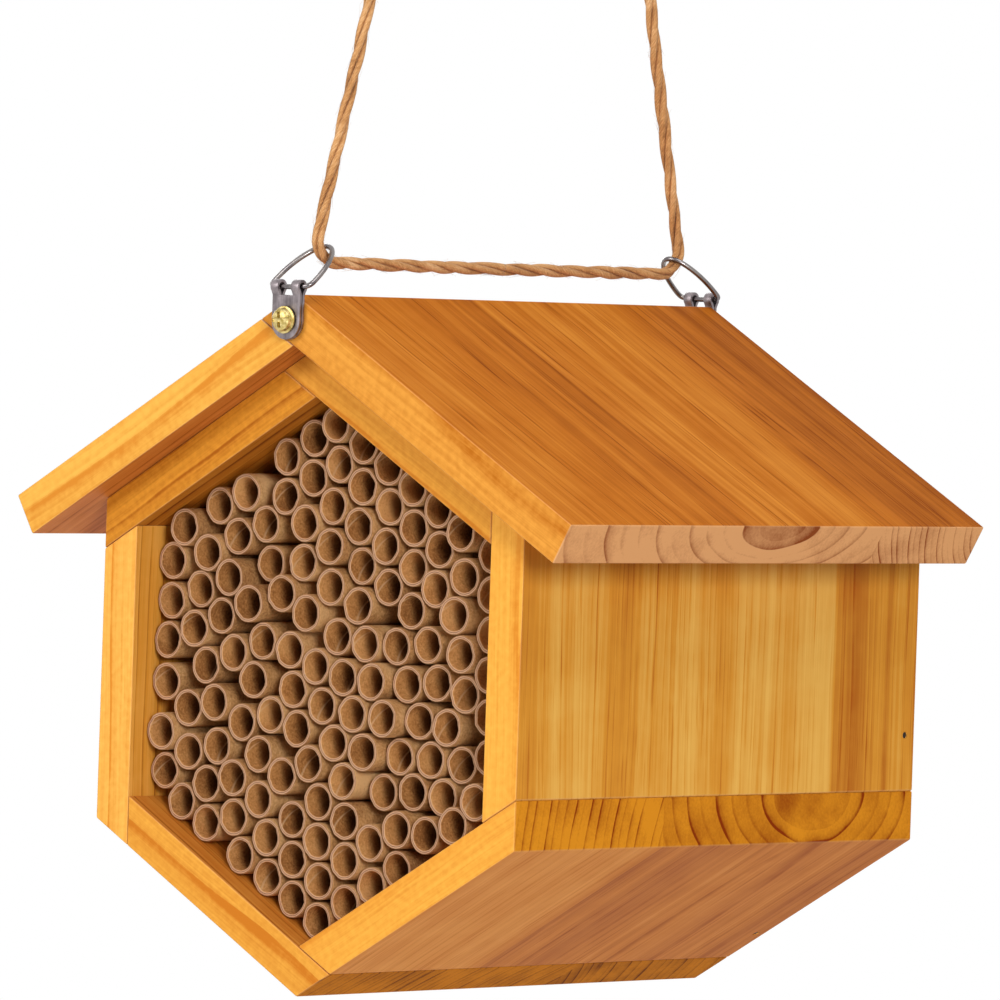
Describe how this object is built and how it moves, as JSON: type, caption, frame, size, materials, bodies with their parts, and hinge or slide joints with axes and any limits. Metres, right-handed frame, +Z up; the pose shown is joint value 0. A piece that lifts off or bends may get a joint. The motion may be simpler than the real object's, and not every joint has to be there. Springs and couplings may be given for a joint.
{
  "type": "mason bee house",
  "caption": "Six-sided wooden bee house with a gable roof, packed with open cardboard nesting tubes, hung from a rope through two hinged hanger rings.",
  "frame": {"origin": "inside of the top of the rope loop, where the peg or hook that holds the house carries it", "axes": "+Z up, the open end of the tubes faces -Y and the closed back faces +Y, +X to the right seen from the front"},
  "size_m": [0.1884, 0.1734, 0.3582],
  "materials": {
    "oiled_fir_walls": "planed fir, oiled, satin",
    "oiled_fir_roof": "planed fir, oiled darker, satin",
    "plain_fir_panel": "planed fir, oiled, satin",
    "brown_card": "spiral wound kraft card, matt",
    "zinc_plated_steel": "dull zinc plate",
    "brass_plated_steel": "brass plated, satin",
    "jute": "twisted jute, matt"
  },
  "bodies": {
    "house": {"back_panel": "plain_fir_panel", "front_hanger_screw": "brass_plated_steel", "front_hanger_strap": "zinc_plated_steel", "left_roof_board": "oiled_fir_roof", "left_wall": "oiled_fir_walls", "lower_left_wall": "oiled_fir_walls", "lower_right_wall": "oiled_fir_walls", "nail_left_wall": "zinc_plated_steel", "nail_lower_left_wall": "zinc_plated_steel", "nail_lower_right_wall": "zinc_plated_steel", "nail_right_wall": "zinc_plated_steel", "nail_upper_left_wall": "zinc_plated_steel", "nail_upper_right_wall": "zinc_plated_steel", "rear_hanger_screw": "brass_plated_steel", "rear_hanger_strap": "zinc_plated_steel", "right_roof_board": "oiled_fir_roof", "right_wall": "oiled_fir_walls", "rope": "jute", "rope_knot": "jute", "tube_bundle_01": "brown_card", "tube_bundle_02": "brown_card", "tube_bundle_03": "brown_card", "tube_bundle_04": "brown_card", "tube_bundle_05": "brown_card", "tube_bundle_06": "brown_card", "tube_bundle_07": "brown_card", "tube_bundle_08": "brown_card", "tube_bundle_09": "brown_card", "tube_bundle_10": "brown_card", "tube_bundle_11": "brown_card", "tube_bundle_12": "brown_card", "tube_bundle_13": "brown_card", "tube_bundle_14": "brown_card", "tube_bundle_15": "brown_card", "tube_bundle_16": "brown_card", "tube_bundle_17": "brown_card", "tube_bundle_18": "brown_card", "tube_bundle_19": "brown_card", "tube_bundle_20": "brown_card", "tube_bundle_21": "brown_card", "tube_bundle_22": "brown_card", "tube_bundle_23": "brown_card", "tube_bundle_24": "brown_card", "tube_bundle_25": "brown_card", "tube_bundle_26": "brown_card", "tube_bundle_27": "brown_card", "tube_bundle_28": "brown_card", "tube_bundle_29": "brown_card", "tube_bundle_30": "brown_card", "tube_bundle_31": "brown_card", "upper_left_wall": "oiled_fir_walls", "upper_right_wall": "oiled_fir_walls"},
    "front_ring": {"front_hanger_ring": "zinc_plated_steel"},
    "rear_ring": {"rear_hanger_ring": "zinc_plated_steel"}
  },
  "joints": [
    {"name": "front_ring_swing", "type": "hinge", "parent": "house", "child": "front_ring", "pos_m": [-0.001, -0.08335, -0.17548], "axis": [1, 0, 0], "range_deg": [-31, 90], "deforming": ["rope"]},
    {"name": "rear_ring_swing", "type": "hinge", "parent": "house", "child": "rear_ring", "pos_m": [-0.0045, 0.08335, -0.17548], "axis": [-1, 0, 0], "range_deg": [-31, 90], "deforming": ["rope"]}
  ]
}
